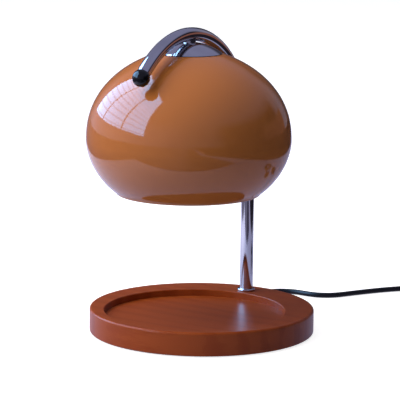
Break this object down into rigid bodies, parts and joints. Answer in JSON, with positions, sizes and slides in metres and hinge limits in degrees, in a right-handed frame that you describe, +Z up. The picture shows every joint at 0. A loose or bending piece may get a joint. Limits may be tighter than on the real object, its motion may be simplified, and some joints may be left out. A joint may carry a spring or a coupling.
{
  "type": "candle warmer lamp",
  "caption": "Table lamp that melts a candle from above: round wooden base with recess, bent chrome arm ending in a ball, glossy dome shade, lamp inside, cord with dimmer and plug.",
  "frame": {"origin": "centre of the round base on the plane that its feet rest on", "axes": "+Z up, +Y towards the upright tube at the back, -Y towards the ball end of the arm, +X to the right seen from the ball end"},
  "size_m": [0.3786, 0.3784, 0.274],
  "materials": {
    "stained_wood": "satin lacquer",
    "foot_rubber": "matt",
    "cover_steel": "matt black",
    "screw_steel": "plain",
    "tube_chrome": "polished",
    "ball_black": "gloss",
    "stem_brass": "plain",
    "shade_glass": "gloss, opaque cased glass",
    "gasket_rubber": "matt",
    "plate_steel": "satin white",
    "holder_ceramic": "satin",
    "lamp_ceramic": "matt",
    "pin_metal": "plain",
    "bowl_mirror": "silvered glass",
    "lens_glass": "clear",
    "burner_glass": "clear",
    "cord_black": "satin",
    "clamp_plastic": "matt",
    "lead_brown": "satin",
    "lead_blue": "satin",
    "switch_plastic": "satin black",
    "dial_plastic": "gloss",
    "board_resin": "satin green",
    "control_plastic": "matt",
    "blade_brass": "plain"
  },
  "bodies": {
    "lamp": {"arm_tube": "tube_chrome", "base_disc": "stained_wood", "bottom_cover": "cover_steel", "carrier_nut": "screw_steel", "carrier_plate": "plate_steel", "clamp_bar": "clamp_plastic", "clamp_screws": "screw_steel", "clamp_seat": "clamp_plastic", "cord_coil": "cord_black", "cord_gland": "cord_black", "cord_inner": "cord_black", "cord_link": "cord_black", "cord_run": "cord_black", "cord_tail": "cord_black", "cover_screws": "screw_steel", "cup_nut": "screw_steel", "dimmer_board": "board_resin", "dimmer_control": "control_plastic", "dimmer_reliefs": "cord_black", "dimmer_screws": "screw_steel", "dimmer_shell_lower": "switch_plastic", "dimmer_shell_upper": "switch_plastic", "dome_cap": "tube_chrome", "end_ball": "ball_black", "foot_collar": "tube_chrome", "foot_pads": "foot_rubber", "holder_screws": "screw_steel", "lamp_bowl": "bowl_mirror", "lamp_burner": "burner_glass", "lamp_cup": "plate_steel", "lamp_foot": "lamp_ceramic", "lamp_holder": "holder_ceramic", "lamp_lead_1": "lead_brown", "lamp_lead_2": "lead_blue", "lamp_lens": "lens_glass", "lamp_pins": "pin_metal", "mains_lead_1": "lead_brown", "mains_lead_2": "lead_blue", "neck_stem": "tube_chrome", "plug_blades": "blade_brass", "plug_body": "cord_black", "pole_nut": "screw_steel", "pole_stem": "stem_brass", "pole_washer": "screw_steel", "shade": "shade_glass", "shade_gasket_lower": "gasket_rubber", "shade_gasket_upper": "gasket_rubber", "terminal_block": "clamp_plastic", "terminal_screws": "screw_steel"},
    "dial": {"dimmer_dial": "dial_plastic"}
  },
  "joints": [
    {"name": "dial_turn", "type": "hinge", "parent": "lamp", "child": "dial", "pos_m": [0.15689, 0.24646, 0.012], "axis": [0, 0, 1], "range_deg": [-270, 0]}
  ]
}
